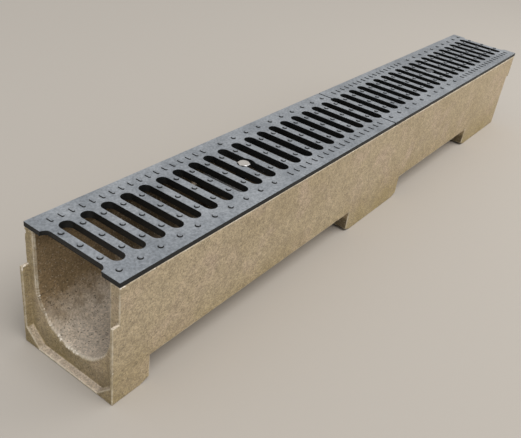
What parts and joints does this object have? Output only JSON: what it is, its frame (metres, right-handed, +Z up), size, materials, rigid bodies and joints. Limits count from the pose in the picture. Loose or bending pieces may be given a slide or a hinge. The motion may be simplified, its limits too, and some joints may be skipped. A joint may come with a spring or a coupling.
{
  "type": "drainage channel",
  "caption": "Straight U-shaped drainage channel cast in resin concrete, with a socket and a spigot end, covered by bolted slotted iron gratings with anti-slip studs.",
  "frame": {"origin": "bottom centre of the whole part: on the ground under the feet, midway along the overall length and across the width", "axes": "+X along the run from the socket end to the spigot end, +Z up"},
  "size_m": [1.008, 0.126, 0.1416],
  "materials": {
    "resin_concrete": "matt cast resin concrete, sandy, with fine light and dark grains",
    "black_iron": "dip-coated cast iron, dark, satin on the worn tops",
    "bright_steel": "bright plated steel",
    "galvanised_steel": "dull galvanised steel"
  },
  "bodies": {
    "root": {"channel_body": "resin_concrete", "near_grating": "black_iron", "far_grating": "black_iron", "grating_bolts": "bright_steel", "bolt_washers": "bright_steel", "near_cross_bar": "galvanised_steel", "far_cross_bar": "galvanised_steel"}
  },
  "joints": []
}
